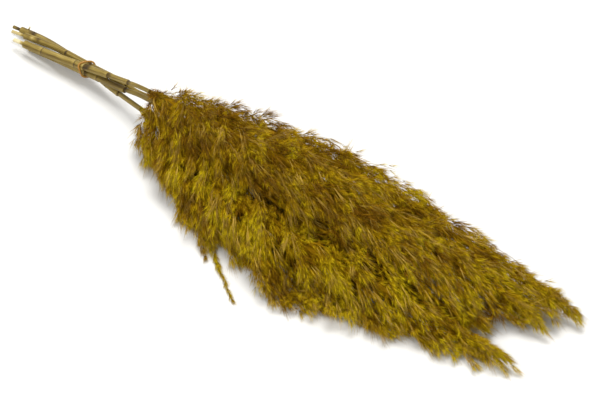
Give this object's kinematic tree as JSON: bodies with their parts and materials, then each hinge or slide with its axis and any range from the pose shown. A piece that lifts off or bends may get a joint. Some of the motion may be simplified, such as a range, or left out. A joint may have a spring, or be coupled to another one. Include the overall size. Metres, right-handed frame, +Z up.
{
  "type": "dried pampas grass bunch",
  "caption": "Bunch of dried, dyed pampas grass lying down: cut canes bound with a thin ring, and long drooping plumes of silky locks.",
  "frame": {"origin": "middle of the bounding box, on the surface that the bunch lies on", "axes": "+X along the bunch from the cut ends to the plume tips, +Z up, +Y to the back of the bunch"},
  "size_m": [0.7356, 0.2368, 0.0909],
  "materials": {
    "cane": "dry, softly glossy olive straw, finely ribbed along the cane",
    "plume": "matte silky fluff, dyed mustard olive",
    "ring": "smooth orange brown band"
  },
  "bodies": {
    "root": {"cane_top": "cane", "cane_back": "cane", "cane_front": "cane", "cane_low": "cane", "plume_top": "plume", "plume_back": "plume", "plume_front": "plume", "plume_low": "plume", "ring": "ring"}
  },
  "joints": []
}
